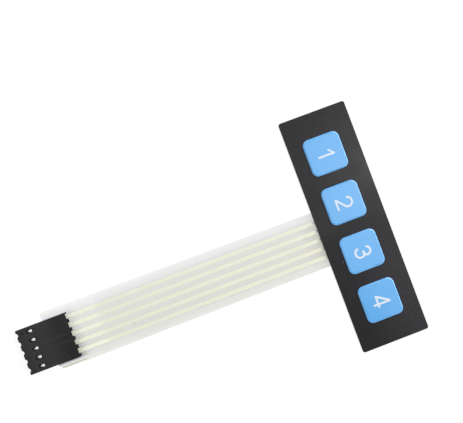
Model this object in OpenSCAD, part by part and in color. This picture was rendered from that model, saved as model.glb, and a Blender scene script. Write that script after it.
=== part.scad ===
// Four-key membrane keypad. A printed and embossed face lies on two circuit films, whose
// flat tail ends in a five-way crimp socket. The keypad lies on its back, in millimetres.
// +X runs from key 1 to key 4, +Y to the tops of the numerals and +Z out of the face.
// The origin is the middle of the back of the face, on the surface that it lies on.

/* [Face] */
// Length of the face
face_l = 69; // [66:0.5:90]
// Width of the face
face_w = 20; // [18:0.5:30]
// Corner radius of the face
face_r = 0.7; // [0.5:0.1:3]

/* [Keys] */
// Side of a raised square key
key_size = 10.9; // [10:0.1:12]
// Corner radius of a key
key_r = 1.8; // [1:0.1:3]
// Distance from one key to the next
key_pitch = 14.75; // [13.5:0.05:15.5]
// How far the row of keys sits toward key 4 from the middle of the face
key_shift = 0.1; // [-0.5:0.05:0.5]
// How far the row of keys sits toward the tail from the middle of the face
key_drop = 0.25; // [0:0.05:0.8]
// Height that a key is embossed above the face
emboss_h = 0.45; // [0.2:0.05:0.8]
// Width of the sloping rim round a key
emboss_slope = 0.35; // [0.3:0.05:0.8]

/* [Numerals] */
// Height of a numeral
numeral_h = 5.05; // [4:0.05:6.5]
// Width of the round numerals
numeral_w = 3.25; // [2.8:0.05:4]
// Width of a numeral's stroke
stroke_w = 0.6; // [0.4:0.02:0.8]
// Height of the numerals' middles above the middles of the keys
numeral_rise = 0.1; // [-0.5:0.05:0.5]

/* [Layers] */
// Thickness of the embossed face film
overlay_t = 0.18; // [0.12:0.01:0.3]
// Thickness of the adhesive under the face film
overlay_glue_t = 0.1; // [0.05:0.01:0.2]
// Thickness of each circuit film
film_t = 0.125; // [0.1:0.005:0.2]
// Thickness of the spacer between the circuit films
spacer_t = 0.15; // [0.1:0.01:0.25]
// Thickness of the adhesive on the back
rear_glue_t = 0.1; // [0.05:0.01:0.2]
// Thickness of the paper that covers the adhesive on the back
liner_t = 0.1; // [0.06:0.01:0.2]
// Thickness of every printed layer
ink_t = 0.03; // [0.02:0.005:0.04]

/* [Switches] */
// Diameter of a printed contact pad
contact_d = 7.5; // [6:0.1:8.5]
// Gap between a contact pad and the edge of its hole in the spacer
hole_gap = 0.6; // [0.3:0.05:0.9]
// Width of the vents that join the holes
vent_w = 1.9; // [1.4:0.1:2.5]
// Distance from the long edge to the outer keys' lines
run_margin = 2.1; // [1.6:0.1:3]
// Distance from the outer keys' lines to the inner keys' lines
run_step = 2; // [1.6:0.1:2.4]

/* [Tail] */
// Free length of the tail, from the face to the socket
tail_free = 74.65; // [40:0.05:150]
// Width of the tail
tail_w = 16; // [15:0.1:18]
// How far the tail sits toward key 4 from the middle of the face
tail_x = 0.2; // [-2:0.05:2]
// How far the lower film drifts toward key 1 by its end
lower_skew = 0.45; // [0:0.05:0.5]
// How far the upper film drifts toward key 4 by its end
upper_skew = 0.4; // [0:0.05:0.5]
// How much narrower the upper film is, on the side of key 1
upper_narrow = 0.2; // [0:0.05:0.5]
// How much the upper film stops short of the lower film's end
upper_short = 0.6; // [0:0.05:1]
// Corner radius at the ends of the films
ear_r = 0.6; // [0.3:0.05:0.8]
// Level stretch of the tail at each end, before it starts to rise
tail_lead = 4; // [2:0.5:8]
// How far the tail's spacer stays inside its edges
spacer_inset = 1.9; // [1:0.05:2]

/* [Printed lines] */
// Width of a line
line_w = 1.05; // [0.8:0.05:1.2]
// Distance from one line to the next, and from one socket to the next
line_pitch = 2.54; // [2.54:0.01:2.6]
// How far the middle line sits toward key 4 from the middle of the face
line_x = 0.3; // [-0.5:0.05:0.8]
// Width of a line's end, under the socket
pad_w = 1.42; // [1.2:0.02:1.6]
// How far a line's end sits to the side of the line
pad_shift = 0.12; // [0:0.02:0.2]
// Length of a line's end that shows behind the socket
pad_show = 1; // [0.5:0.1:3]
// Length of the bars printed on the ears of the film
mark_l = 7; // [4:0.1:9]
// Width of those bars
mark_w = 0.5; // [0.3:0.05:0.6]
// Distance from the film's edge to a bar
mark_in = 0.27; // [0.1:0.01:0.4]

/* [Socket housing] */
// Length of the housing without its lip
house_l = 14.45; // [13.8:0.05:18]
// Height of the housing
house_t = 2.5; // [2.5:0.05:3]
// Plastic outside the outer cells, on each side
house_cheek = 0.1; // [0:0.05:1]
// How far the sockets sit to the side of the lines
socket_shift = 0.12; // [0:0.02:0.2]
// How far the floor sticks out behind the roof
lip_l = 0.5; // [0.3:0.05:1.5]
// Thickness of the floor under the film
floor_t = 0.9; // [0.8:0.05:1]
// Length of film inside the housing
film_in = 6.5; // [5.8:0.1:6.7]
// Length of a window in the roof
window_l = 1.9; // [1.6:0.1:2.1]
// Width of a window
window_w = 1.07; // [0.9:0.01:1.2]
// Distance from the front to the windows
window_y = 2.8; // [2.5:0.05:2.9]
// Depth of the notches in the front edge
notch_d = 0.42; // [0.2:0.02:0.5]
// Width of a notch at the front
notch_w = 1.35; // [1:0.05:1.6]
// Radius of the corners beside a notch
notch_r = 0.25; // [0.05:0.05:0.4]
// Side of the square hole that a pin goes into
pin_hole = 0.8; // [0.7:0.02:0.9]
// Side of the flared mouth of that hole
mouth_w = 1.7; // [1.2:0.1:1.9]
// Depth of the flare
mouth_d = 0.6; // [0.3:0.05:0.8]
// Thickness of the wall that the pins come in through
front_wall = 1; // [0.8:0.05:1.4]
// Thickness of the roof over the terminals
roof_t = 0.4; // [0.3:0.02:0.45]
// Width of the broken long edges
edge_cut = 0.12; // [0.05:0.01:0.2]
// Radius of the upright corners
house_r = 0.25; // [0.1:0.05:0.4]

/* [Terminals] */
// Thickness of the terminal metal
metal_t = 0.2; // [0.15:0.01:0.22]
// Width of a terminal
term_w = 1.2; // [1.16:0.02:1.3]
// Length of a crimp tooth
tooth_l = 1.1; // [0.8:0.05:1.3]
// Distance from one crimp tooth to the next
tooth_pitch = 2.2; // [1.8:0.1:2.3]
// Width of the locking lance at its free end
lance_w = 0.8; // [0.6:0.01:0.9]
// Width of the locking lance at its neck
lance_neck = 0.3; // [0.2:0.02:0.4]
// Length of that neck in the window
neck_l = 0.75; // [0.3:0.05:0.9]
// Depth of the lance's tip below the top of the housing
lance_sink = 0.15; // [0.05:0.05:0.2]
// Length of the bridge that the lance grows from
roof_l = 0.7; // [0.5:0.05:0.9]
// Length of the terminal's box behind the window
box_tail = 1.05; // [0.8:0.05:1.3]
// Length of the bridge that holds the spring
bridge_l = 0.6; // [0.4:0.05:0.8]
// Width of the spring that presses on a pin
spring_w = 0.5; // [0.3:0.05:0.6]
// Height of the spring's contact above the middle of the pin
spring_rise = 0.14; // [0.1:0.02:0.2]
// Length of the spring's raised tip
spring_tip = 0.5; // [0.3:0.05:0.6]
// Distance from the rear of the housing to the first crimp tooth
tooth_in = 1.5; // [1.2:0.1:1.6]
// Distance from the rear of the housing to the end of a terminal
term_in = 0.5; // [0.3:0.05:0.8]

/* [Hidden] */
KEYS = 4;
LINES = 5;
COMMON = LINES - 1;
$fn = 48;

// Clearances
ink_gap = 0.01;
film_fit = 0.05;
slit_fit = 0.04;
terminal_fit = 0.06;
through = 1;

// Heights of the layers, from the back up
rear_glue_z = liner_t;
lower_z = rear_glue_z + rear_glue_t;
spacer_z = lower_z + film_t;
upper_z = spacer_z + spacer_t;
overlay_glue_z = upper_z + film_t;
overlay_z = overlay_glue_z + overlay_glue_t;
face_z = overlay_z + overlay_t;
tail_t = 2 * film_t + spacer_t;

// Places along the tail
face_edge = -face_w / 2;
rear_y = face_edge - tail_free;
front_y = rear_y - house_l;
lip_y = rear_y + lip_l;
lower_end = rear_y - film_in;
upper_end = lower_end + upper_short;
spacer_end = upper_end + ear_r;
slot_end = lower_end - film_fit;
tail_root = face_edge + through;

// Edges of the tail films at the face
tail_left = tail_x - tail_w / 2;
tail_right = tail_x + tail_w / 2;

// Housing
house_x = line_x + socket_shift;
house_w = LINES * line_pitch + 2 * house_cheek;
slot_h = tail_t + 2 * film_fit;
roof_z = floor_t + slot_h;
tail_rise = floor_t + film_fit - lower_z;
pin_z = house_t / 2;
cell_w = term_w + 2 * terminal_fit;
cell_top = house_t - roof_t;

// Terminal, with its neck at the front of the window
strip_z = floor_t - metal_t;
term_front = front_y + front_wall + terminal_fit;
term_rear = rear_y - term_in;
neck_y = front_y + window_y;
window_end = neck_y + window_l;
box_rear = window_end + box_tail;
roof_plate_z = cell_top - terminal_fit - metal_t;
tooth_z = roof_z - film_fit;
first_tooth = rear_y - tooth_in;

function key_x(k) = (k - (KEYS - 1) / 2) * key_pitch + key_shift;
key_y = -key_drop;
function wire_x(i) = line_x + (i - (LINES - 1) / 2) * line_pitch;
function cell_x(i) = wire_x(i) + socket_shift;

// Height that the tail has risen at y: level, a smooth climb, then level in the housing
climb_start = face_edge - tail_lead;
climb_end = rear_y + tail_lead;
CLIMB_STEPS = 16;
RIM_STEPS = 4;
function ease(t) = t * t * (3 - 2 * t);
function climb_y(i) = climb_start + (climb_end - climb_start) * i / CLIMB_STEPS;
tail_path = concat(
    [[face_w, 0]],
    [for (i = [0:CLIMB_STEPS]) [climb_y(i), tail_rise * ease(i / CLIMB_STEPS)]],
    [[front_y, tail_rise]]
);

function arc(x, y, r, from, to, steps = 6) =
    [for (i = [0:steps]) let (a = from + (to - from) * i / steps) [x + r * cos(a), y + r * sin(a)]];

// A rectangle with round corners, about the origin
module rounded_rect(l, w, r) {
    square([l - 2 * r, w], center = true);
    square([l, w - 2 * r], center = true);
    for (x = [-1, 1], y = [-1, 1])
        translate([x * (l / 2 - r), y * (w / 2 - r)]) circle(r);
}

// A rectangle from one corner to the other
module rect(x0, y0, x1, y1) {
    translate([min(x0, x1), min(y0, y1)]) square([abs(x1 - x0), abs(y1 - y0)]);
}

// A box from one corner to the other
module box(x0, y0, z0, x1, y1, z1) {
    translate([x0, y0, z0]) cube([x1 - x0, y1 - y0, z1 - z0]);
}

// A profile of [y, z] points, extruded along x and centred on it
module across_x(points, width) {
    translate([-width / 2, 0, 0]) rotate([90, 0, 90]) linear_extrude(width) polygon(points);
}

// One level of the films: flat under the face, and along the climb of the tail
module sheet_level(z, t) {
    low = [for (p = tail_path) [p[0], p[1] + z]];
    high = [for (i = [len(tail_path) - 1:-1:0]) [tail_path[i][0], tail_path[i][1] + z + t]];
    across_x(concat(low, high), face_l + face_w);
}

// The plan shape given as a child, as a sheet that follows the tail
module film_sheet(z, t) {
    intersection() {
        linear_extrude(house_t + through) children();
        sheet_level(z, t);
    }
}

// The plan of the face
module face_plan() {
    rounded_rect(face_l, face_w, face_r);
}

// The plan of a tail film: straight cut edges that drift sideways, and round corners
module tail_plan(left, right, drift, end) {
    polygon(concat(
        [[right, tail_root], [left, tail_root]],
        arc(left + drift + ear_r, end + ear_r, ear_r, 180, 270),
        arc(right + drift - ear_r, end + ear_r, ear_r, 270, 360)
    ));
}

// A raised square: its sides rise in a soft curve and turn round its corners
module pillow(size, r, slope, h) {
    side = size / 2;
    straight = size - 2 * r;
    rise = [for (i = [0:RIM_STEPS]) let (t = i / RIM_STEPS) [side - slope * t, h * ease(t)]];
    fall = [for (i = [RIM_STEPS:-1:0]) [-rise[i][0], rise[i][1]]];
    corner = concat([[0, 0]], [for (p = rise) [p[0] + r - side, p[1]]], [[0, h]]);
    across_x(concat(rise, fall), straight);
    rotate([0, 0, 90]) across_x(concat(rise, fall), straight);
    for (x = [-1, 1], y = [-1, 1])
        translate([x * (side - r), y * (side - r), 0]) rotate_extrude() polygon(corner);
}

// The embossed form of a key, at the place of key k and with its foot at z
module key_form(k, z) {
    translate([key_x(k), key_y, z]) pillow(key_size, key_r, emboss_slope, emboss_h);
}

// The plan of key k
module key_plan(k) {
    translate([key_x(k), key_y]) rounded_rect(key_size, key_size, key_r);
}

module graphic_overlay() {
    color([0.2, 0.2, 0.2])
    difference() {
        union() {
            translate([0, 0, overlay_z]) linear_extrude(overlay_t) face_plan();
            for (k = [0:KEYS - 1]) key_form(k, face_z);
        }
        for (k = [0:KEYS - 1]) {
            key_form(k, overlay_z);
            translate([0, 0, overlay_z - through]) linear_extrude(through) key_plan(k);
        }
    }
}

// A skin of ink that covers the raised form of key k
module key_print(k) {
    color([0.47, 0.73, 0.96])
    difference() {
        union() {
            translate([0, 0, face_z]) linear_extrude(ink_t) key_plan(k);
            key_form(k, face_z + ink_t);
        }
        key_form(k, face_z);
    }
}

// A ring of stroke width from one angle to another, less than half a turn
module stroke_arc(x, y, r, from, to) {
    far = 2 * r;
    translate([x, y]) intersection() {
        difference() {
            circle(r);
            circle(r - stroke_w);
        }
        polygon(concat([[0, 0]], arc(0, 0, far, from, to, 4)));
    }
}

// The four numerals, centred in height on the origin. Their proportions are shares of
// a numeral's own width and height.
top = numeral_h / 2;
bowl = numeral_w / 2;

module shape_1() {
    stem = 0.06 * numeral_w;
    flag = 0.31 * numeral_w;
    flag_y = top - 0.27 * numeral_h;
    rect(stem, -top, stem + stroke_w, top);
    polygon([[stem + stroke_w / 2, top], [-flag, flag_y], [-flag, flag_y - stroke_w],
             [stem, top - 0.2 * numeral_h]]);
}

module shape_2() {
    middle = 0.035 * numeral_w;
    bowl_y = top - bowl;
    turn = 35;
    free_end = 176;
    base = 0.92 * stroke_w;
    outer = [middle + bowl * cos(turn), bowl_y - bowl * sin(turn)];
    inner = [middle + (bowl - stroke_w) * cos(turn), bowl_y - (bowl - stroke_w) * sin(turn)];
    stroke_arc(middle, bowl_y, bowl, 90, free_end);
    stroke_arc(middle, bowl_y, bowl, -turn - 4, 90);
    polygon([[middle - bowl, -top], [middle - bowl + 1.4 * stroke_w, base - top], outer, inner,
             [middle - bowl, base - top]]);
    rect(middle - bowl, -top, middle + bowl, base - top);
}

module shape_3() {
    middle = 0.045 * numeral_w;
    low_middle = 0.075 * numeral_w;
    waist = 0.03 * numeral_h;
    waist_w = 0.1 * numeral_w;
    small = 0.89 * bowl;
    bowl_y = top - small;
    base_y = bowl - top;
    stroke_arc(middle, bowl_y, small, 90, 172);
    stroke_arc(middle, bowl_y, small, 0, 90);
    stroke_arc(middle, bowl_y, small, -80, 0);
    stroke_arc(low_middle, base_y, bowl, 0, 80);
    stroke_arc(low_middle, base_y, bowl, -90, 0);
    stroke_arc(low_middle, base_y, bowl, -174, -90);
    rect(middle - waist_w, waist - stroke_w / 2, middle + waist_w, waist + stroke_w / 2);
}

module shape_4() {
    stem = 0.18 * numeral_w;
    left = -0.49 * numeral_w;
    right = 0.56 * numeral_w;
    bar = -0.286 * numeral_h;
    heel = left + 1.37 * stroke_w;
    crotch = top - 0.21 * numeral_h;
    half = stroke_w / 2;
    rect(stem, -top, stem + stroke_w, top);
    rect(left, bar, right, bar + stroke_w);
    polygon([[left, bar + half], [heel, bar + half], [heel, bar + stroke_w], [stem, crotch],
             [stem + half, crotch], [stem + half, top], [stem, top], [left, bar + stroke_w]]);
}

module numeral(k) {
    color([0.95, 0.97, 1])
    translate([key_x(k), key_y + numeral_rise, face_z + emboss_h + ink_t])
        linear_extrude(ink_t) {
            if (k == 0) shape_1();
            if (k == 1) shape_2();
            if (k == 2) shape_3();
            if (k == 3) shape_4();
        }
}

module overlay_adhesive() {
    color([0.8, 0.8, 0.76])
    translate([0, 0, overlay_glue_z]) linear_extrude(overlay_glue_t)
        difference() {
            face_plan();
            for (k = [0:KEYS - 1]) key_plan(k);
        }
}

// The plan of a line's wide end, where a terminal clinches it
module line_end(i, grow) {
    x = wire_x(i) - pad_shift;
    half = pad_w / 2 + grow;
    rect(x - half, upper_end + ear_r, x + half, rear_y + pad_show + grow);
}

// The plan of the common line: a pad at each key, a bus between them and a line out
module common_plan(grow) {
    half = line_w / 2 + grow;
    for (k = [0:KEYS - 1])
        translate([key_x(k), key_y]) circle(contact_d / 2 + grow);
    rect(key_x(0), key_y - half, key_x(KEYS - 1), key_y + half);
    rect(wire_x(COMMON) - half, upper_end + ear_r, wire_x(COMMON) + half, key_y);
    line_end(COMMON, grow);
}

// The plan of key k's line: its pad, a run beside the long edge and a line out
module key_line_plan(k, grow) {
    half = line_w / 2 + grow;
    outer = k == 0 || k == KEYS - 1;
    run_y = face_edge + run_margin + (outer ? 0 : run_step);
    low_x = min(key_x(k), wire_x(k));
    high_x = max(key_x(k), wire_x(k));
    translate([key_x(k), key_y]) circle(contact_d / 2 + grow);
    rect(key_x(k) - half, run_y - half, key_x(k) + half, key_y);
    rect(low_x - half, run_y - half, high_x + half, run_y + half);
    rect(wire_x(k) - half, upper_end + ear_r, wire_x(k) + half, run_y);
    line_end(k, grow);
}

// The slits that the crimp teeth cut through films and lines, grown by a clearance
module tooth_slits(grow) {
    for (i = [0:LINES - 1], tooth = [0, 1], side = [-1, 1]) {
        x = cell_x(i) + side * (term_w - metal_t) / 2;
        y = first_tooth - tooth * tooth_pitch;
        box(x - metal_t / 2 - grow, y - tooth_l - grow, floor_t,
            x + metal_t / 2 + grow, y + grow, roof_z);
    }
}

module upper_circuit_film() {
    color([0.88, 0.89, 0.87, 0.6])
    difference() {
        film_sheet(upper_z, film_t) {
            face_plan();
            tail_plan(tail_left + upper_narrow, tail_right, upper_skew, upper_end);
        }
        tooth_slits(slit_fit);
    }
}

module common_circuit() {
    color([0.9, 0.91, 0.8])
    difference() {
        film_sheet(upper_z - ink_t, ink_t) common_plan(0);
        tooth_slits(slit_fit);
    }
}

module spacer() {
    left = tail_left + spacer_inset;
    right = tail_right - spacer_inset;
    color([0.87, 0.87, 0.84, 0.6])
    difference() {
        film_sheet(spacer_z, spacer_t)
            difference() {
                union() {
                    face_plan();
                    rect(left, spacer_end, right, tail_root);
                }
                for (k = [0:KEYS - 1])
                    translate([key_x(k), key_y]) circle(contact_d / 2 + hole_gap);
                rect(key_x(0), key_y - vent_w / 2, key_x(KEYS - 1), key_y + vent_w / 2);
            }
        film_sheet(upper_z - ink_t - ink_gap, ink_t + through) common_plan(ink_gap);
        for (k = [0:KEYS - 1])
            film_sheet(spacer_z - through, ink_t + ink_gap + through) key_line_plan(k, ink_gap);
        tooth_slits(slit_fit);
    }
}

module key_line(k) {
    color([0.9, 0.91, 0.8])
    difference() {
        film_sheet(spacer_z, ink_t) key_line_plan(k, 0);
        tooth_slits(slit_fit);
    }
}

module lower_circuit_film() {
    color([0.88, 0.89, 0.87, 0.6])
    difference() {
        film_sheet(lower_z, film_t) {
            face_plan();
            tail_plan(tail_left, tail_right, -lower_skew, lower_end);
        }
        tooth_slits(slit_fit);
    }
}

// A bar printed on the lower film, beside the edge of the upper film
module left_edge_mark() {
    x = tail_left - lower_skew + mark_in;
    y = lower_end + mark_in;
    color([0.9, 0.91, 0.8])
    film_sheet(spacer_z, ink_t) rect(x, y, x + mark_w, y + mark_l);
}

// A bar printed under the upper film, beside the edge of the lower film
module right_edge_mark() {
    x = tail_right + upper_skew - mark_in;
    y = upper_end + mark_in;
    color([0.9, 0.91, 0.8])
    film_sheet(upper_z - ink_t, ink_t) rect(x - mark_w, y, x, y + mark_l);
}

module rear_adhesive() {
    color([0.8, 0.8, 0.76])
    translate([0, 0, rear_glue_z]) linear_extrude(rear_glue_t) face_plan();
}

module release_liner() {
    color([0.95, 0.93, 0.87])
    linear_extrude(liner_t) face_plan();
}

// The solid block that the housing is cut from, with broken long edges and round corners
module house_block() {
    side = house_w / 2;
    depth = house_l + lip_l;
    outline = [
        [-side, edge_cut], [edge_cut - side, 0], [side - edge_cut, 0], [side, edge_cut],
        [side, house_t - edge_cut], [side - edge_cut, house_t], [edge_cut - side, house_t],
        [-side, house_t - edge_cut]
    ];
    intersection() {
        translate([house_x, lip_y, 0]) rotate([90, 0, 0]) linear_extrude(depth) polygon(outline);
        translate([house_x, front_y + depth / 2, 0]) linear_extrude(house_t)
            rounded_rect(house_w, depth, house_r);
    }
}

// The mouth that guides a pin into its hole, as two crossed wedges
module pin_mouth() {
    wide = mouth_w / 2;
    half = pin_hole / 2;
    wedge = [[-wide, -through], [wide, -through], [wide, 0], [half, mouth_d], [-half, mouth_d], [-wide, 0]];
    intersection() {
        translate([0, 0, -wide]) linear_extrude(2 * wide) polygon(wedge);
        rotate([0, 90, 0]) translate([0, 0, -wide]) linear_extrude(2 * wide) polygon(wedge);
    }
}

// A notch in the front edge, with slanted sides that meet the front in round corners
module notch_plan() {
    inner = notch_w / 2 - notch_d;
    down = 270;
    turn = 45;
    corner = notch_w / 2 + notch_r * tan(turn / 2);
    polygon(concat(
        [[-corner, -through], [corner, -through]],
        arc(corner, notch_r, notch_r, down, down - turn),
        [[inner, notch_d], [-inner, notch_d]],
        arc(-corner, notch_r, notch_r, down + turn, down)
    ));
}

// What is cut from the housing for the cell at x
module cell_cuts(x) {
    half = cell_w / 2;
    box(x - half, front_y + front_wall, strip_z, x + half, slot_end + terminal_fit, cell_top);
    box(x - half, slot_end, strip_z, x + half, term_rear + terminal_fit, roof_z);
    box(x - half, slot_end, floor_t, x + half, first_tooth + terminal_fit, tooth_z + metal_t + 2 * film_fit);
    box(x - window_w / 2, neck_y, pin_z, x + window_w / 2, window_end, house_t + through);
    box(x - pin_hole / 2, front_y - through, pin_z - pin_hole / 2,
        x + pin_hole / 2, front_y + front_wall + through, pin_z + pin_hole / 2);
    translate([x, front_y, pin_z]) pin_mouth();
    translate([x, front_y, -through]) linear_extrude(house_t + 2 * through) notch_plan();
}

module connector_housing() {
    reach = house_w;
    color([0.21, 0.21, 0.21])
    difference() {
        house_block();
        box(house_x - reach, slot_end, floor_t, house_x + reach, lip_y + through, roof_z);
        box(house_x - reach, rear_y, floor_t, house_x + reach, lip_y + through, house_t + through);
        for (i = [0:LINES - 1]) cell_cuts(cell_x(i));
    }
}

// The locking lance: a narrow neck that widens to a round free end and slopes up
module lance() {
    root_y = neck_y - metal_t;
    tip_y = window_end - 2 * terminal_fit;
    wide_y = tip_y - lance_w / 2;
    tip_z = house_t - lance_sink - metal_t;
    plate_top = roof_plate_z + metal_t;
    slope = [[root_y, roof_plate_z], [neck_y, roof_plate_z], [tip_y, tip_z],
             [tip_y, tip_z + metal_t], [neck_y, plate_top], [root_y, plate_top]];
    half_neck = lance_neck / 2;
    flare_y = neck_y + neck_l;
    intersection() {
        linear_extrude(house_t) {
            translate([0, wide_y]) circle(lance_w / 2);
            polygon([[-half_neck, root_y], [half_neck, root_y], [half_neck, flare_y],
                     [lance_w / 2, wide_y], [-lance_w / 2, wide_y], [-half_neck, flare_y]]);
        }
        across_x(slope, term_w);
    }
}

// The spring that presses on the pin: held at the rear and bowed down over the pin
module spring() {
    rear = box_rear - bridge_l / 2;
    tip = neck_y - spring_tip;
    low = pin_z + spring_rise;
    high = roof_plate_z - 2 * metal_t;
    top_edge = [[rear, high + metal_t], [neck_y, low + metal_t], [tip, low + 1.5 * metal_t]];
    under_edge = [[tip, low + metal_t / 2], [neck_y, low], [rear, high]];
    across_x(concat(under_edge, top_edge), spring_w);
}

// A terminal, stamped and formed from one strip, about x = 0
module terminal_form() {
    half = term_w / 2;
    roof_front = neck_y - roof_l;
    box(-half, term_front, strip_z, half, term_rear, floor_t);
    for (side = [0, 1]) mirror([side, 0, 0]) {
        box(half - metal_t, term_front, strip_z, half, box_rear, roof_plate_z - metal_t);
        box(half - metal_t, roof_front, strip_z, half, neck_y, roof_plate_z + metal_t);
        for (tooth = [0, 1]) {
            y = first_tooth - tooth * tooth_pitch;
            box(half - metal_t, y - tooth_l, strip_z, half, y, tooth_z + metal_t);
            box(half - 2 * metal_t, y - tooth_l, tooth_z, half, y, tooth_z + metal_t);
        }
    }
    box(-half, box_rear - bridge_l, roof_plate_z - 2 * metal_t, half, box_rear, roof_plate_z - metal_t);
    box(-half, roof_front, roof_plate_z, half, neck_y, roof_plate_z + metal_t);
    lance();
    spring();
}

module terminal(i) {
    color([0.82, 0.81, 0.76])
    translate([cell_x(i), 0, 0]) terminal_form();
}

graphic_overlay();
key_print(0);  // key_print_1
key_print(1);  // key_print_2
key_print(2);  // key_print_3
key_print(3);  // key_print_4
numeral(0);  // numeral_1
numeral(1);  // numeral_2
numeral(2);  // numeral_3
numeral(3);  // numeral_4
overlay_adhesive();
upper_circuit_film();
common_circuit();
spacer();
key_line(0);  // key_line_1
key_line(1);  // key_line_2
key_line(2);  // key_line_3
key_line(3);  // key_line_4
lower_circuit_film();
left_edge_mark();
right_edge_mark();
rear_adhesive();
release_liner();
connector_housing();
terminal(0);  // terminal_1
terminal(1);  // terminal_2
terminal(2);  // terminal_3
terminal(3);  // terminal_4
terminal(4);  // terminal_5
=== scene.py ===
# The looks of a four-key membrane keypad that lies on its back, with its film tail laid out
# from one long side and a five-way crimp socket at the tail's end. The frame is that of the
# solids: +X from key 1 to key 4, +Y to the tops of the numerals, +Z up. Meshes are in metres,
# and the places that a finish reads are in millimetres.
import math

import bmesh
import bpy
from mathutils import Euler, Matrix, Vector


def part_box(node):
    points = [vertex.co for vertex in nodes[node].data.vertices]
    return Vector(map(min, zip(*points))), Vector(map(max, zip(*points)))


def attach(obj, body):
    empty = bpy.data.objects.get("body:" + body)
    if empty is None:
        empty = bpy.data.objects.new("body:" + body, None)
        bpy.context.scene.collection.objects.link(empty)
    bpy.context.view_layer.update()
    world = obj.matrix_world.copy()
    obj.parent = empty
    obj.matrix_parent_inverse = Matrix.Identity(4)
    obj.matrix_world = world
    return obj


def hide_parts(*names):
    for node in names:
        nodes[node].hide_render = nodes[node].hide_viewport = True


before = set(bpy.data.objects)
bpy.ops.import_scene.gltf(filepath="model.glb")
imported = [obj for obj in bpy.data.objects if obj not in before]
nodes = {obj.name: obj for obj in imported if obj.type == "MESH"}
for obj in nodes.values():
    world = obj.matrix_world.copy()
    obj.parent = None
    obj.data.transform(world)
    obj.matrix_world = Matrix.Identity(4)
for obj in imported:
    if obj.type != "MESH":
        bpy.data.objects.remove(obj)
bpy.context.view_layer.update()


# Release liner
# A coated paper that covers the adhesive on the back until the keypad is stuck down. It is
# die-cut together with the face, so its edges are flush with it.
MM = 0.001


def new_material(name, colour, roughness):
    """A material with a plain colour and roughness, its node tree and its shader."""
    material = bpy.data.materials.new(name)
    material.use_nodes = True
    shader = material.node_tree.nodes["Principled BSDF"]
    shader.inputs["Base Color"].default_value = (*colour, 1)
    shader.inputs["Roughness"].default_value = roughness
    return material, material.node_tree, shader


def add_node(tree, kind, values=None, **settings):
    """A node with its settings, and with plain values on the inputs that are named."""
    made = tree.nodes.new(kind)
    for name, value in settings.items():
        setattr(made, name, value)
    for name, value in (values or {}).items():
        made.inputs[name].default_value = value
    return made


def new_group(name, inputs, outputs):
    """An empty shader group with its sockets, and the nodes that stand for both ends."""
    group = bpy.data.node_groups.new(name, "ShaderNodeTree")
    for socket, kind in inputs:
        group.interface.new_socket(socket, in_out="INPUT", socket_type=kind)
    for socket, kind in outputs:
        group.interface.new_socket(socket, in_out="OUTPUT", socket_type=kind)
    return group, group.nodes.new("NodeGroupInput"), group.nodes.new("NodeGroupOutput")


def add_group(tree, group, **values):
    """A shader group in a material, with that material's own values."""
    made = tree.nodes.new("ShaderNodeGroup")
    made.node_tree = group
    for name, value in values.items():
        made.inputs[name].default_value = value
    return made


def make_grain_group():
    """Fine even grain: Tone varies round 1 by Contrast, and Height feeds a bump."""
    group, source, result = new_group(
        "fine_grain",
        [("Scale", "NodeSocketFloat"), ("Contrast", "NodeSocketFloat")],
        [("Tone", "NodeSocketFloat"), ("Height", "NodeSocketFloat")],
    )
    place = add_node(group, "ShaderNodeTexCoord")
    noise = add_node(group, "ShaderNodeTexNoise", {"Detail": 4.0, "Roughness": 0.6})
    centred = add_node(group, "ShaderNodeMath", {1: 0.5}, operation="SUBTRACT")
    doubled = add_node(group, "ShaderNodeMath", {1: 2.0}, operation="MULTIPLY")
    swing = add_node(group, "ShaderNodeMath", {2: 1.0}, operation="MULTIPLY_ADD")
    group.links.new(place.outputs["Object"], noise.inputs["Vector"])
    group.links.new(source.outputs["Scale"], noise.inputs["Scale"])
    group.links.new(noise.outputs["Fac"], centred.inputs[0])
    group.links.new(centred.outputs[0], doubled.inputs[0])
    group.links.new(doubled.outputs[0], swing.inputs[0])
    group.links.new(source.outputs["Contrast"], swing.inputs[1])
    group.links.new(swing.outputs[0], result.inputs["Tone"])
    group.links.new(noise.outputs["Fac"], result.inputs["Height"])
    return group


fine_grain = make_grain_group()


def feed(tree, value, socket):
    """Link another node's output to a socket, or set the socket to a plain number or colour."""
    if isinstance(value, bpy.types.NodeSocket):
        tree.links.new(value, socket)
    elif socket.type == "RGBA":
        socket.default_value = (*value, 1)
    else:
        socket.default_value = value


def tint(tree, colour, tone):
    """A colour multiplied by the value that the socket tone gives."""
    mixed = add_node(tree, "ShaderNodeVectorMath", operation="SCALE")
    feed(tree, colour, mixed.inputs[0])
    feed(tree, tone, mixed.inputs["Scale"])
    return mixed.outputs[0]


def add_bump(tree, shader, height, depth):
    """Relief from the socket height, depth metres deep."""
    bump = add_node(tree, "ShaderNodeBump", {"Strength": 1.0, "Distance": depth})
    tree.links.new(height, bump.inputs["Height"])
    tree.links.new(bump.outputs["Normal"], shader.inputs["Normal"])


def coat_node(name, material):
    """Give a carried-over solid its finish."""
    nodes[name].data.materials.clear()
    nodes[name].data.materials.append(material)


def make_liner_paper():
    colour = (0.84, 0.81, 0.72)
    material, tree, shader = new_material("liner_paper", colour, 0.5)
    fibres = add_group(tree, fine_grain, Scale=900.0, Contrast=0.07)
    tree.links.new(tint(tree, colour, fibres.outputs["Tone"]), shader.inputs["Base Color"])
    add_bump(tree, shader, fibres.outputs["Height"], 0.01 * MM)
    return material


coat_node("release_liner", make_liner_paper())


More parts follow.
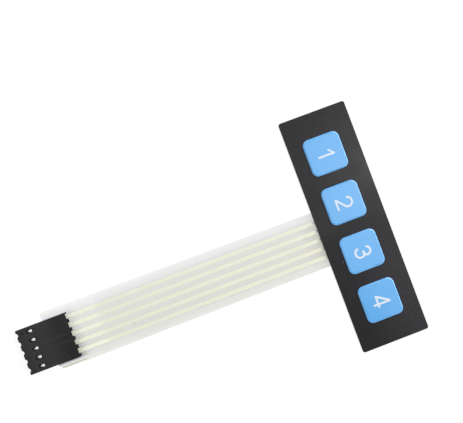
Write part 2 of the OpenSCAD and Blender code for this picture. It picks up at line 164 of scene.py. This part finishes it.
# Rear and face adhesives
# Two die-cut sheets of acrylic adhesive, one under the circuit films and one under the face.
# Only their edges show, as thin milky lines.
def make_piece(name, bm, material, sharp=40):
    """A smooth-shaded object, with edges left hard where the faces turn by more than sharp."""
    bm.normal_update()
    for face in bm.faces:
        face.smooth = True
    for edge in bm.edges:
        edge.smooth = edge.is_manifold and edge.calc_face_angle(0) < math.radians(sharp)
    mesh = bpy.data.meshes.new(name)
    bm.to_mesh(mesh)
    bm.free()
    mesh.materials.append(material)
    piece = bpy.data.objects.new(name, mesh)
    bpy.context.scene.collection.objects.link(piece)
    return piece


def stand_for(piece, node):
    """The piece is shown in place of a solid, which is hidden, and is attached to the root body.
    """
    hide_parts(node)
    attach(piece, "root")


def merged_copy(name):
    """A solid's own shape, as one closed mesh with its flat faces whole."""
    bm = bmesh.new()
    bm.from_mesh(nodes[name].data)
    bmesh.ops.remove_doubles(bm, verts=bm.verts[:], dist=0.0005 * MM)
    bmesh.ops.dissolve_limit(bm, angle_limit=math.radians(0.2), verts=bm.verts[:],
                             edges=bm.edges[:])
    bm.normal_update()
    return bm


LAYER_GAP = 0.003 * MM


def add_layer(piece_name, node, material, gap=LAYER_GAP):
    """A layer that stays just clear of its neighbours, so that no two faces share one plane."""
    bm = merged_copy(node)
    for vert in bm.verts:
        vert.co -= vert.normal * gap
    bmesh.ops.triangulate(bm, faces=bm.faces[:])
    stand_for(make_piece(piece_name, bm, material, sharp=20), node)


def make_adhesive():
    colour = (0.62, 0.62, 0.57)
    material, tree, shader = new_material("acrylic_adhesive", colour, 0.3)
    cloud = add_group(tree, fine_grain, Scale=600.0, Contrast=0.1)
    tree.links.new(tint(tree, colour, cloud.outputs["Tone"]), shader.inputs["Base Color"])
    add_bump(tree, shader, cloud.outputs["Height"], 0.01 * MM)
    return material


acrylic_adhesive = make_adhesive()
add_layer("back_adhesive_sheet", "rear_adhesive", acrylic_adhesive)
add_layer("face_adhesive_sheet", "overlay_adhesive", acrylic_adhesive)


# Circuit films
# Two sheets of clear polyester, cut with straight edges and round corners, that run from
# under the face into the socket. They carry the printed lines on the sides that face each
# other. A few specks of dust lie on them. Shade is painted on them beside the face and the
# socket, and a band behind the socket is painted paler, as a painted glare.
def make_speck_group():
    """A soft round spot: Mask falls from 1 at Place to 0 near Radius, with an uneven edge."""
    group, source, result = new_group(
        "speck",
        [("Place", "NodeSocketVector"), ("Radius", "NodeSocketFloat")],
        [("Mask", "NodeSocketFloat")],
    )
    place = add_node(group, "ShaderNodeTexCoord")
    reach = add_node(group, "ShaderNodeVectorMath", operation="DISTANCE")
    share = add_node(group, "ShaderNodeMath", operation="DIVIDE")
    noise = add_node(group, "ShaderNodeTexNoise", {"Scale": 9000.0, "Detail": 2.0})
    uneven = add_node(group, "ShaderNodeMath", {1: 0.5, 2: 0.75}, operation="MULTIPLY_ADD")
    ragged = add_node(group, "ShaderNodeMath", operation="MULTIPLY")
    fade = add_node(
        group, "ShaderNodeMapRange",
        {"From Min": 0.55, "From Max": 1.0, "To Min": 1.0, "To Max": 0.0},
        interpolation_type="SMOOTHSTEP",
    )
    group.links.new(place.outputs["Object"], reach.inputs[0])
    group.links.new(source.outputs["Place"], reach.inputs[1])
    group.links.new(reach.outputs["Value"], share.inputs[0])
    group.links.new(source.outputs["Radius"], share.inputs[1])
    group.links.new(place.outputs["Object"], noise.inputs["Vector"])
    group.links.new(noise.outputs["Fac"], uneven.inputs[0])
    group.links.new(share.outputs[0], ragged.inputs[0])
    group.links.new(uneven.outputs[0], ragged.inputs[1])
    group.links.new(ragged.outputs[0], fade.inputs["Value"])
    group.links.new(fade.outputs["Result"], result.inputs["Mask"])
    return group


speck = make_speck_group()


# A Mix node has a set of sockets for each kind of value, under the same names, so those for
# colours are given by number.
MIX_UNDER, MIX_OVER, MIX_RESULT = 6, 7, 2


def mix_colour(tree, mask, under, over):
    """Over where the mask is 1, under where it is 0. Each is a colour or a socket."""
    mixed = add_node(tree, "ShaderNodeMix", data_type="RGBA")
    feed(tree, mask, mixed.inputs["Factor"])
    feed(tree, under, mixed.inputs[MIX_UNDER])
    feed(tree, over, mixed.inputs[MIX_OVER])
    return mixed.outputs[MIX_RESULT]


def blend_math(tree, operation, first, *others):
    """The values, numbers or sockets, worked through one after another by Math nodes."""
    for value in others or (0,):
        made = add_node(tree, "ShaderNodeMath", operation=operation)
        feed(tree, first, made.inputs[0])
        feed(tree, value, made.inputs[1])
        first = made.outputs[0]
    return first


def ramp(tree, value, start, end, form="SMOOTHSTEP"):
    """0 at start and 1 at end, with a smooth or an even rise between; end may be the lower."""
    step = add_node(tree, "ShaderNodeMapRange", {"From Min": start, "From Max": end},
                    interpolation_type=form)
    feed(tree, value, step.inputs["Value"])
    return step.outputs["Result"]


def band(tree, value, lower, upper):
    """1 between two edges and 0 outside. Each edge is given by its outer and its inner side."""
    return blend_math(tree, "MULTIPLY", ramp(tree, value, *lower), ramp(tree, value, *upper))


def millimetres(tree):
    """The place on the object, as X, Y and Z sockets in millimetres."""
    place = add_node(tree, "ShaderNodeTexCoord")
    scaled = add_node(tree, "ShaderNodeVectorMath", {"Scale": 1000.0}, operation="SCALE")
    axes = add_node(tree, "ShaderNodeSeparateXYZ")
    tree.links.new(place.outputs["Object"], scaled.inputs[0])
    tree.links.new(scaled.outputs[0], axes.inputs[0])
    return axes.outputs["X"], axes.outputs["Y"], axes.outputs["Z"]


# The tail leaves the face at TAIL_ROOT and runs into the socket. Its right edge starts at
# TAIL_RIGHT, and the lower film's drifts by LOWER_SKEW on its way, which is LOWER_TURN for each
# millimetre. The printed lines reach LINES_EDGE to either side of their middle.
TAIL_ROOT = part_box("graphic_overlay")[0].y / MM
SOCKET_LOW, SOCKET_HIGH = (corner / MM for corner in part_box("connector_housing"))
TAIL_RIGHT = 8.2
LOWER_SKEW = -0.45
LOWER_TURN = LOWER_SKEW / (TAIL_ROOT - SOCKET_HIGH.y)
LINE_PITCH = 2.54
LINE_MIDDLE = 0.3
LINES_EDGE = 5.3

# Distances behind the socket: how far its painted shade reaches, where the ears of film
# beside it end, and the two edges of a band of film that is painted paler than the rest, as a
# painted glare.
SHADE_REACH = 4.6
EARS_END = 0.15
PALE_FROM, PALE_TO = (1.15, 3.15), (9.15, 7.65)

# How much clearer the film is in that band of painted glare.
PALE_SHARE = 0.015
SHEET_INDEX = 1.3
# The colour of the painted shade on the films.
FILM_SHADE = (0.03, 0.025, 0.03)
DUST_GREY = (0.16, 0.14, 0.12)
# Each speck's place, its radius, and how much of the light it stops.
FILM_DUST = [
    ((-0.69, -20.43, 0.622), 0.16, 0.85), ((3.56, -67.47, 1.275), 0.2, 0.4),
    # The wide faint spot at (-1.35, -14.0) is painted shade beside the edge of a line.
    ((-1.35, -14.0, 0.6), 0.45, 0.08), ((-0.75, -59.0, 1.165), 0.3, 0.05),
    ((-2.35, -81.4, 1.35), 0.2, 0.12),
]


def sideways(tree, x, middle):
    """How far x is from the middle, to either side."""
    return blend_math(tree, "ABSOLUTE", blend_math(tree, "SUBTRACT", x, middle))


def tail_place(tree):
    """X, Y and the distance behind the socket, as sockets in millimetres."""
    x, y, _ = millimetres(tree)
    return x, y, blend_math(tree, "SUBTRACT", y, SOCKET_HIGH.y)


def near_socket(tree, x, behind):
    """The painted shade round the socket, gone at SHADE_REACH behind it and at 1 mm beside it. It
    grows deeper towards the right, and is deepest on the ear of film there."""
    middle, half = (SOCKET_LOW.x + SOCKET_HIGH.x) / 2, (SOCKET_HIGH.x - SOCKET_LOW.x) / 2
    across = blend_math(tree, "SUBTRACT", sideways(tree, x, middle), half)
    across = blend_math(tree, "MULTIPLY", blend_math(tree, "MAXIMUM", across, 0), SHADE_REACH)
    along = blend_math(tree, "MAXIMUM", behind, 0)
    reach = blend_math(tree, "ADD", blend_math(tree, "MULTIPLY", across, across),
                       blend_math(tree, "MULTIPLY", along, along))
    close = ramp(tree, blend_math(tree, "SQRT", reach), SHADE_REACH, 0, "LINEAR")
    to_right = ramp(tree, x, SOCKET_LOW.x - 1, SOCKET_HIGH.x - 2, "LINEAR")
    right_ear = blend_math(tree, "MULTIPLY",
                           ramp(tree, x, SOCKET_HIGH.x - 0.1, SOCKET_HIGH.x + 0.1),
                           ramp(tree, behind, EARS_END, EARS_END - 1))
    depth = blend_math(tree, "ADD", blend_math(tree, "MULTIPLY", to_right, 1.4), 0.45,
                       blend_math(tree, "MULTIPLY", right_ear, 2.2))
    return blend_math(tree, "MULTIPLY", blend_math(tree, "POWER", close, 3.3), depth)


def sheet_gloss(tree):
    """The mirror share of a thin sheet, the same for rays that reach it from either side."""
    gloss = add_node(tree, "ShaderNodeFresnel")
    sides = add_node(tree, "ShaderNodeNewGeometry")
    within = blend_math(tree, "MULTIPLY", sides.outputs["Backfacing"],
                        1 / SHEET_INDEX - SHEET_INDEX)
    index = blend_math(tree, "ADD", within, SHEET_INDEX)
    tree.links.new(index, gloss.inputs["IOR"])
    return gloss.outputs[0]


def make_film(name, opacity, margin, strip, face_shade, face_reach, socket_shade):
    """Clear film with a faint warm tint and dust, with painted shade beside the face and the
    socket. It is denser by margin beside the lines and by strip where it lies past the other
    film, and clearer by PALE_SHARE in the band behind the socket, as a painted glare."""
    left, right, ear = (0.17, 0.17, 0.14), (0.17, 0.17, 0.02), (0.15, 0.15, 0.24)
    material, tree, shader = new_material(name, right, 0.16)
    shader.inputs["IOR"].default_value = 1.6
    x, y, behind = tail_place(tree)

    beside = ramp(tree, sideways(tree, x, LINE_MIDDLE), LINES_EDGE, LINES_EDGE + 0.2)
    turned = blend_math(tree, "ADD", x, blend_math(tree, "MULTIPLY", y, LOWER_TURN))
    lower_edge = TAIL_RIGHT + LOWER_TURN * TAIL_ROOT
    alone = blend_math(tree, "MULTIPLY", ramp(tree, turned, lower_edge, lower_edge + 0.05),
                       ramp(tree, behind, EARS_END, EARS_END + 1))
    density = blend_math(tree, "ADD", blend_math(tree, "MULTIPLY", beside, margin), opacity,
                         blend_math(tree, "MULTIPLY", alone, strip))

    haze = add_group(tree, fine_grain, Scale=120.0, Contrast=0.1)
    to_right = blend_math(tree, "MULTIPLY", ramp(tree, x, -4, 9, "LINEAR"), 0.3)
    clear = blend_math(tree, "MULTIPLY", haze.outputs["Tone"],
                       blend_math(tree, "ADD", to_right, 1.0), density)
    # Painted glare: the film is clearer in a band behind the socket, fading out towards the right.
    painted_glare = blend_math(tree, "MULTIPLY", band(tree, behind, PALE_FROM, PALE_TO),
                      ramp(tree, x, 4, 0), PALE_SHARE)
    clear = blend_math(tree, "SUBTRACT", clear, painted_glare)

    # Painted shade: the film is darker and denser beside the face and round the socket.
    by_face = ramp(tree, y, TAIL_ROOT - face_reach, TAIL_ROOT, "LINEAR")
    spared = blend_math(tree, "SUBTRACT", 1, blend_math(tree, "MULTIPLY", beside, 0.5))
    by_face = blend_math(tree, "MULTIPLY", blend_math(tree, "POWER", by_face, 3.0),
                         face_shade, spared)
    by_socket = blend_math(tree, "MULTIPLY", near_socket(tree, x, behind), socket_shade)
    shade = blend_math(tree, "ADD", by_face, by_socket)

    alpha = blend_math(tree, "ADD", clear, shade)
    tinted = mix_colour(tree, ramp(tree, x, -6.5, 1), left, right)
    tinted = mix_colour(tree, ramp(tree, behind, EARS_END + 0.3, EARS_END - 0.2), tinted, ear)
    base = mix_colour(tree, blend_math(tree, "DIVIDE", shade, alpha), tinted, FILM_SHADE)
    alpha = blend_math(tree, "MAXIMUM", alpha, sheet_gloss(tree))
    for place, radius, dense in FILM_DUST:
        spot = add_group(tree, speck, Place=Vector(place) * MM, Radius=radius * MM)
        base = mix_colour(tree, spot.outputs["Mask"], base, DUST_GREY)
        cover = blend_math(tree, "MULTIPLY", spot.outputs["Mask"], dense)
        alpha = blend_math(tree, "MAXIMUM", alpha, cover)
    tree.links.new(base, shader.inputs["Base Color"])
    tree.links.new(alpha, shader.inputs["Alpha"])
    return material


coat_node("lower_circuit_film", make_film(
    "lower_polyester", opacity=0.0625, margin=0.03, strip=0, face_shade=0.13, face_reach=10,
    socket_shade=0.15,
))
coat_node("upper_circuit_film", make_film(
    "upper_polyester", opacity=0.02, margin=0, strip=0.08, face_shade=0.07, face_reach=3,
    socket_shade=0.05,
))


# Spacer
# A polyester sheet with adhesive on both sides, die-cut with a hole at each key, that keeps the
# printed pads apart. In the tail it joins the films, and tints the gaps between the lines.
def make_spacer_film():
    colour = (0.4, 0.4, 0.02)
    material, tree, shader = new_material("spacer_film", colour, 0.3)
    x, _, behind = tail_place(tree)
    lanes = blend_math(tree, "SUBTRACT", x, LINE_MIDDLE)
    beside = blend_math(tree, "PINGPONG", lanes, LINE_PITCH / 2)
    within = ramp(tree, sideways(tree, x, LINE_MIDDLE), LINES_EDGE, LINES_EDGE - 0.2)
    between = blend_math(tree, "MULTIPLY", ramp(tree, beside, 0.45, 0.6), within)
    cloud = add_group(tree, fine_grain, Scale=150.0, Contrast=0.08)
    alpha = blend_math(tree, "MULTIPLY", cloud.outputs["Tone"], 0.055, between,
                       ramp(tree, behind, EARS_END, EARS_END + 2))
    tree.links.new(tint(tree, colour, cloud.outputs["Tone"]), shader.inputs["Base Color"])
    tree.links.new(alpha, shader.inputs["Alpha"])
    return material


add_layer("spacer_sheet", "spacer", make_spacer_film())


# Printed lines and pads
# A pale conductive ink, screen printed on the insides of the films and left with a fine
# mottle. It is painted a little paler near the socket, as a painted glare, and it is duller on
# the last line. Two short bars of ink mark the ears of the films, beside the socket; the right
# one is painted darker, as painted shade from the socket.
def make_conductor():
    colour, left_bar, shaded_right_bar = (0.89, 0.897, 0.74), (0.88, 0.9, 0.82), (0.72, 0.685, 0.53)
    material, tree, shader = new_material("conductive_ink", colour, 0.5)
    mottle = add_group(tree, fine_grain, Scale=2500.0, Contrast=0.05)
    x, _, behind = tail_place(tree)
    # Painted glare: the ink is paler near the socket.
    glare_on_ink = blend_math(tree, "MULTIPLY", ramp(tree, behind, PALE_TO[0], PALE_TO[0] - 2), 0.1)
    last_gap = LINE_MIDDLE + 1.5 * LINE_PITCH
    duller = blend_math(tree, "MULTIPLY", ramp(tree, x, last_gap, last_gap + 0.2),
                        ramp(tree, behind, 4.15, 19.15), 0.045)
    tone = blend_math(tree, "ADD", mottle.outputs["Tone"],
                      blend_math(tree, "SUBTRACT", glare_on_ink, duller))
    # Painted shade: the right bar is darker, as shade from the socket beside it.
    bar = mix_colour(tree, ramp(tree, x, -2, 2), left_bar, shaded_right_bar)
    past_lines = ramp(tree, sideways(tree, x, LINE_MIDDLE), 2.5 * LINE_PITCH, 2.6 * LINE_PITCH)
    ink = mix_colour(tree, past_lines, tint(tree, colour, tone), bar)
    tree.links.new(ink, shader.inputs["Base Color"])
    add_bump(tree, shader, mottle.outputs["Height"], 0.01 * MM)
    return material


# The ink's copies shrink more than the other layers', to stay clear of the films' facets too,
# where the tail rises to the socket.
INK_GAP = 0.011 * MM
conductive_ink = make_conductor()
for piece_name, node in (
    ("printed_common_line", "common_circuit"), ("printed_line_1", "key_line_1"),
    ("printed_line_2", "key_line_2"), ("printed_line_3", "key_line_3"),
    ("printed_line_4", "key_line_4"), ("left_ear_bar", "left_edge_mark"),
    ("right_ear_bar", "right_edge_mark"),
):
    add_layer(piece_name, node, conductive_ink, gap=INK_GAP)


# Face film
# One sheet of matte polyester, black apart from the keys, and pressed between heated tools
# so that each key stands up as a square with soft edges.
face_low, face_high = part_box("graphic_overlay")
print_boxes = [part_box(f"key_print_{k}") for k in range(1, 5)]
FACE_THICKNESS = 0.18 * MM
INK_THICKNESS = 0.03 * MM
FACE_CORNER = 0.7 * MM
KEY_CORNER = 1.8 * MM
SHOULDER_WIDTH = 0.45 * MM
SHOULDER_STEPS = 10
face_top = print_boxes[0][0].z
emboss_height = face_high.z - face_top


def rounded_plate(bm, low, high, z, radius):
    """A flat face with round corners, between two corners, and looking up."""
    points = [(low.x, low.y), (high.x, low.y), (high.x, high.y), (low.x, high.y)]
    corners = [bm.verts.new((x, y, z)) for x, y in points]
    bm.faces.new(corners)
    made = bmesh.ops.bevel(
        bm, geom=corners, offset=radius, offset_type="OFFSET", segments=10, profile=0.5,
        affect="VERTICES", material=-1,
    )
    bm.faces.ensure_lookup_table()
    return [face for face in bm.faces if made["verts"][0] in face.verts][0]


def emboss(bm, face, width, height, steps):
    """Raise a flat face in small insets that follow a quarter of an ellipse, steep at the foot."""
    def widen(thickness):
        bmesh.ops.inset_region(bm, faces=[face], thickness=thickness, use_boundary=True,
                               use_even_offset=True)

    widen(INK_THICKNESS / 2)
    for step in range(steps):
        start, end = (math.pi / 2 * turn / steps for turn in (step, step + 1))
        widen((math.cos(start) - math.cos(end)) * width)
        rise = (math.sin(end) - math.sin(start)) * height
        bmesh.ops.translate(bm, verts=face.verts, vec=(0, 0, rise))
    widen(width / steps)


# Specks, and one wide paler patch: the place of each on the face, its radius and its grey.
FACE_SPECKS = [
    ((8.5, -6.4), 0.15, 0.2), ((33.1, -1.4), 0.15, 0.09), ((32.4, -6.7), 0.15, 0.05),
    ((-34.2, -0.6), 0.3, 0.07), ((-4.0, -7.8), 6.0, 0.031),
]


def cover_spot(tree, base, place, height, radius, colour):
    """The base colour with one soft spot of another colour on it."""
    spot = add_group(tree, speck, Place=(place[0] * MM, place[1] * MM, height),
                     Radius=radius * MM)
    return mix_colour(tree, spot.outputs["Mask"], base, colour)


def make_face_black():
    colour = (0.0255, 0.0243, 0.0262)
    material, tree, shader = new_material("matte_black_film", colour, 0.2)
    shader.inputs["Specular IOR Level"].default_value = 0.04
    cloud = add_group(tree, fine_grain, Scale=170.0, Contrast=0.8)
    polish = blend_math(tree, "MULTIPLY", cloud.outputs["Tone"], -0.07)
    tree.links.new(blend_math(tree, "ADD", polish, 0.27), shader.inputs["Roughness"])
    grain = add_group(tree, fine_grain, Scale=2400.0, Contrast=0.7)
    x, y, _ = millimetres(tree)
    # Painted light: the base is lighter towards the left, as the lamps' light falls.
    painted_light_left = blend_math(tree, "MULTIPLY", ramp(tree, x, 34, -20, "LINEAR"), 0.34)
    # Painted sheen: the base is lighter towards +X and +Y.
    painted_sheen = blend_math(tree, "MULTIPLY", ramp(tree, x, 0, 14), ramp(tree, y, -9, 9), 0.5)
    tone = blend_math(tree, "MULTIPLY", grain.outputs["Tone"],
                      blend_math(tree, "ADD", painted_light_left, painted_sheen, 0.8))
    base = tint(tree, colour, tone)
    for place, radius, grey in FACE_SPECKS:
        base = cover_spot(tree, base, place, face_top, radius, (grey, grey, grey))
    tree.links.new(base, shader.inputs["Base Color"])
    add_bump(tree, shader, grain.outputs["Height"], 0.003 * MM)
    return material


def make_face_film():
    bm = bmesh.new()
    under_ink = Vector((INK_THICKNESS, INK_THICKNESS, 0))
    corner = KEY_CORNER - INK_THICKNESS
    key_faces = [rounded_plate(bm, low + under_ink, high - under_ink, face_top, corner)
                 for low, high in print_boxes]
    edge_face = rounded_plate(bm, face_low, face_high, face_top, FACE_CORNER)
    bmesh.ops.delete(bm, geom=[edge_face], context="FACES_ONLY")
    bmesh.ops.triangle_fill(bm, edges=bm.edges[:], use_beauty=True, normal=(0, 0, 1))
    for face in key_faces:
        emboss(bm, face, SHOULDER_WIDTH - INK_THICKNESS, emboss_height, SHOULDER_STEPS)
    bmesh.ops.recalc_face_normals(bm, faces=bm.faces[:])
    return bm


face_bm = make_face_film()
bmesh.ops.solidify(face_bm, geom=face_bm.faces[:], thickness=FACE_THICKNESS)
stand_for(make_piece("face_film", face_bm, make_face_black()), "graphic_overlay")


# Key colour
# Light blue ink with a satin finish, printed on the film before it is pressed, over each raised
# square and down to its foot. On the shoulders it is paler and glossier: the ink is stretched
# thinner there, and its paler colour is also a painted highlight.

# Each speck's place, its radius, and its share of the blue's own brightness.
KEY_SPECKS = [((12.4, 2.1), 0.2, 0.4), ((12.2, 1.5), 0.14, 0.75), ((-8.8, 2.6), 0.16, 0.75)]


def make_key_blue():
    colour, thinned_and_highlit, shaded_blue = (0.093, 0.365, 0.735), (0.155, 0.49, 0.95), (0.061, 0.336, 0.714)
    material, tree, shader = new_material("key_blue_ink", colour, 0.3)
    shader.inputs["Specular IOR Level"].default_value = 0.47
    shader.inputs["Coat Roughness"].default_value = 0.25
    shader.inputs["Coat IOR"].default_value = 2.0
    grain = add_group(tree, fine_grain, Scale=9000.0, Contrast=0.04)
    key_top = face_high.z + INK_THICKNESS
    x, y, z = millimetres(tree)
    foot, top = face_top / MM, key_top / MM
    slope = band(tree, z, (foot + 0.08, foot + 0.2), (top - 0.015, top - 0.04))
    # Painted shade: the blue is deeper towards +X and -Y, where less of the lamps' sheen falls.
    dull = blend_math(tree, "MULTIPLY", ramp(tree, x, 10, 27), ramp(tree, y, 4, -5))
    inked = tint(tree, mix_colour(tree, dull, colour, shaded_blue), grain.outputs["Tone"])
    # The paler shoulder colour is thinner ink and also a painted highlight.
    base = mix_colour(tree, slope, inked, thinned_and_highlit)
    tree.links.new(slope, shader.inputs["Coat Weight"])
    for place, radius, dark in KEY_SPECKS:
        stain = tuple(channel * dark for channel in colour)
        base = cover_spot(tree, base, place, key_top, radius, stain)
    tree.links.new(base, shader.inputs["Base Color"])
    add_bump(tree, shader, grain.outputs["Height"], 0.002 * MM)
    return material


key_blue = make_key_blue()
for index, (low, high) in enumerate(print_boxes, start=1):
    bm = bmesh.new()
    plate = rounded_plate(bm, low, high, face_top + INK_THICKNESS, KEY_CORNER)
    emboss(bm, plate, SHOULDER_WIDTH, emboss_height, SHOULDER_STEPS)
    bmesh.ops.solidify(bm, geom=bm.faces[:], thickness=INK_THICKNESS)
    key_skin = make_piece(f"key_colour_{index}", bm, key_blue, sharp=50)
    stand_for(key_skin, f"key_print_{index}")


# Numerals
# White ink, screen printed on the tops of the keys, one plain numeral to a key. It lies on the
# blue as a thin even layer with a dull finish.
def make_numeral_white():
    colour = (0.625, 0.7, 0.8)
    material, tree, shader = new_material("numeral_white_ink", colour, 0.4)
    grain = add_group(tree, fine_grain, Scale=9000.0, Contrast=0.03)
    tree.links.new(tint(tree, colour, grain.outputs["Tone"]), shader.inputs["Base Color"])
    add_bump(tree, shader, grain.outputs["Height"], 0.002 * MM)
    return material


numeral_white = make_numeral_white()
for index in range(1, 5):
    coat_node(f"numeral_{index}", numeral_white)


# Socket housing
# Moulded in one piece from black glass-filled nylon, with a dull fine-grained skin and edges
# that are only just broken. Each window in its roof shows the lance of a terminal.
def softened_copy(name, width, segments):
    """A solid's own shape, with its sharp edges rounded a little."""
    bm = merged_copy(name)
    sharp = [edge for edge in bm.edges
             if edge.is_manifold and edge.calc_face_angle(0) > math.radians(35)]
    bmesh.ops.bevel(
        bm, geom=sharp, offset=width, offset_type="OFFSET", segments=segments, profile=0.5,
        affect="EDGES", clamp_overlap=True, material=-1,
    )
    bmesh.ops.triangulate(bm, faces=[face for face in bm.faces if len(face.verts) > 4])
    return bm


# Two faint lanes along the roof, each by its middle and its ends. Each speck's place, its radius
# and its grey.
HOUSING_LANES = [(-0.4, -85, -95), (1.6, -85, -93)]
HOUSING_SPECKS = [
    ((-4.7, -97.2), 0.4, 0.006), ((6.0, -97.6), 0.35, 0.008), ((5.9, -87.7), 0.13, 0.06),
]


def make_housing_black():
    colour, front_grey, glare_on_ink = (0.003, 0.003, 0.0032), (0.0235, 0.023, 0.0235), (0.045, 0.044, 0.045)
    material, tree, shader = new_material("black_nylon", colour, 0.5)
    shader.inputs["Specular IOR Level"].default_value = 0.25
    grain = add_group(tree, fine_grain, Scale=11000.0, Contrast=0.3)
    x, y, z = millimetres(tree)
    # Painted shade: the base is darker towards the rear of the housing, to even out the lamps'
    # sheen there.
    dull = mix_colour(tree, ramp(tree, y, -86, -93), colour, front_grey)
    on_roof = ramp(tree, z, 1.5, 2)
    for middle, start, end in HOUSING_LANES:
        across = ramp(tree, sideways(tree, x, middle), 0.35, 0.1)
        along = band(tree, y, (start, start - 1.5), (end, end + 1.5))
        lane = blend_math(tree, "MULTIPLY", across, along, on_roof, 0.25)
        dull = mix_colour(tree, lane, dull, glare_on_ink)
    for place, radius, grey in HOUSING_SPECKS:
        dull = cover_spot(tree, dull, place, SOCKET_HIGH.z * MM, radius, (grey, grey, grey))
    tree.links.new(tint(tree, dull, grain.outputs["Tone"]), shader.inputs["Base Color"])
    add_bump(tree, shader, grain.outputs["Height"], 0.004 * MM)
    return material


housing = make_piece("socket_housing", softened_copy("connector_housing", 0.05 * MM, 2),
                     make_housing_black(), sharp=30)
stand_for(housing, "connector_housing")


# Terminals
# Stamped and folded from thin phosphor bronze and tinned bright. Each grips the films with
# two pairs of clinched teeth, and its lance shows in a window of the housing.

# A lance is lit from here on, behind its neck, and above the shade of the cell, which fades out
# between two heights.
LANCE_START = SOCKET_LOW.y + 3.5
CELL_SHADE = (2.08, 2.16)


def make_tin():
    """Tin that is bright where a lance is lit, and dark in the shade of the cells."""
    colour, shaded = (0.98, 0.96, 0.92), (0.015, 0.014, 0.013)
    material, tree, shader = new_material("bright_tin", colour, 0.3)
    mottle = add_group(tree, fine_grain, Scale=3000.0, Contrast=0.08)
    _, y, z = millimetres(tree)
    bright = blend_math(tree, "MULTIPLY", ramp(tree, z, *CELL_SHADE),
                        ramp(tree, y, LANCE_START - 0.1, LANCE_START + 0.1))
    tree.links.new(blend_math(tree, "MULTIPLY", bright, 0.15), shader.inputs["Metallic"])
    base = mix_colour(tree, bright, shaded, tint(tree, colour, mottle.outputs["Tone"]))
    tree.links.new(base, shader.inputs["Base Color"])
    add_bump(tree, shader, mottle.outputs["Height"], 0.003 * MM)
    return material


bright_tin = make_tin()
for index in range(1, 6):
    terminal = make_piece(f"crimp_terminal_{index}",
                          softened_copy(f"terminal_{index}", 0.03 * MM, 2), bright_tin, sharp=30)
    stand_for(terminal, f"terminal_{index}")


# Floor, lights and camera
# A white table under an even studio sky, with four soft lamps past the numerals' tops and a wide
# low window behind them, which lights the keys' far shoulders. The camera looks almost straight
# down, turned so that the tail runs to the lower left.
def make_floor():
    """A wide disc that lights the object as white paper does, and looks white by itself."""
    bm = bmesh.new()
    bmesh.ops.create_circle(bm, cap_ends=True, radius=3, segments=64)
    bmesh.ops.translate(bm, verts=bm.verts[:], vec=(0, 0, -0.02 * MM))
    lit_white, seen_grey, glow = (0.82, 0.82, 0.82), (0.12, 0.12, 0.12), 0.91
    material, tree, shader = new_material("white_table", lit_white, 0.9)
    shader.inputs["Specular IOR Level"].default_value = 0.1
    light_path = add_node(tree, "ShaderNodeLightPath")
    rays = [light_path.outputs[f"Is {ray} Ray"] for ray in ("Camera", "Glossy", "Transmission")]
    seen = blend_math(tree, "MAXIMUM", *rays)
    tree.links.new(mix_colour(tree, seen, lit_white, seen_grey), shader.inputs["Base Color"])
    shader.inputs["Emission Color"].default_value = (1, 1, 1, 1)
    tree.links.new(blend_math(tree, "MULTIPLY", seen, glow), shader.inputs["Emission Strength"])
    return make_piece("table", bm, material)


make_floor()


def make_sky():
    world = bpy.data.worlds.new("studio")
    bpy.context.scene.world = world
    world.use_nodes = True
    sky = world.node_tree.nodes["Background"]
    sky.inputs["Color"].default_value = (1, 1, 1, 1)
    sky.inputs["Strength"].default_value = 0.56


def make_lamp(name, place, size, power, aim=(0, 0, 0)):
    """A soft oval lamp, size metres wide and high, turned to the place that it lights."""
    data = bpy.data.lights.new(name, "AREA")
    data.shape = "ELLIPSE"
    data.size, data.size_y = size
    data.energy = power
    lamp = bpy.data.objects.new(name, data)
    lamp.location = place
    lamp.rotation_euler = (Vector(aim) - Vector(place)).to_track_quat("-Z", "Y").to_euler()
    bpy.context.scene.collection.objects.link(lamp)


# The camera, fitted to the object's edges: its place in millimetres and its turns in degrees.
CAMERA_PLACE = Vector((-12.9, -69.54, 403.52))
CAMERA_TURNS = (2.342, -4.956, 69.353)
CAMERA_LENS = 111.79


def make_camera():
    data = bpy.data.cameras.new("camera")
    data.sensor_width = 36
    data.lens = CAMERA_LENS
    data.clip_start = 0.01
    data.clip_end = 20
    camera = bpy.data.objects.new("camera", data)
    camera.location = CAMERA_PLACE * MM
    camera.rotation_euler = Euler([math.radians(turn) for turn in CAMERA_TURNS])
    bpy.context.scene.collection.objects.link(camera)
    bpy.context.scene.camera = camera


make_sky()
make_lamp("overhead_softbox", place=(-0.018, 0.141, 0.6), size=(0.05, 0.05), power=0.4)
make_lamp("overhead_fill", place=(0.09, 0.155, 0.6), size=(0.05, 0.05), power=0.08)
make_lamp("left_softbox", place=(-0.5, 0.45, 0.75), size=(0.3, 0.3), power=2.5,
          aim=(0, -0.045, 0))
make_lamp("right_softbox", place=(0.45, 0.5, 0.5), size=(0.12, 0.12), power=1.0)
make_lamp("low_window", place=(-0.4, 0.97, 0.38), size=(1.6, 0.7), power=8.3)
make_camera()
bpy.context.scene.view_settings.view_transform = "Standard"
